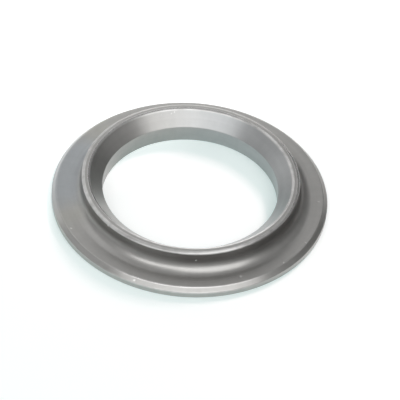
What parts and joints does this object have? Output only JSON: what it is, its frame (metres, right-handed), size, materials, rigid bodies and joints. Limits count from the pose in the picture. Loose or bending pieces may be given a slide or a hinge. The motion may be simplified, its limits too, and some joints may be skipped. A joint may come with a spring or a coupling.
{
  "type": "collared washer",
  "caption": "Turned steel washer with a thin bevelled flange, a filleted raised collar and a conical seat that leads into a plain bore.",
  "frame": {"origin": "on the washer's axis, at the middle of its flat base", "axes": "+Z along the axis, from the base towards the collar and its conical seat; X and Y are free, because the part is round"},
  "size_m": [0.055, 0.055, 0.0062],
  "materials": {
    "turned_steel": "satin, fine-turned, with light handling nicks"
  },
  "bodies": {
    "root": {"washer": "turned_steel"}
  },
  "joints": []
}
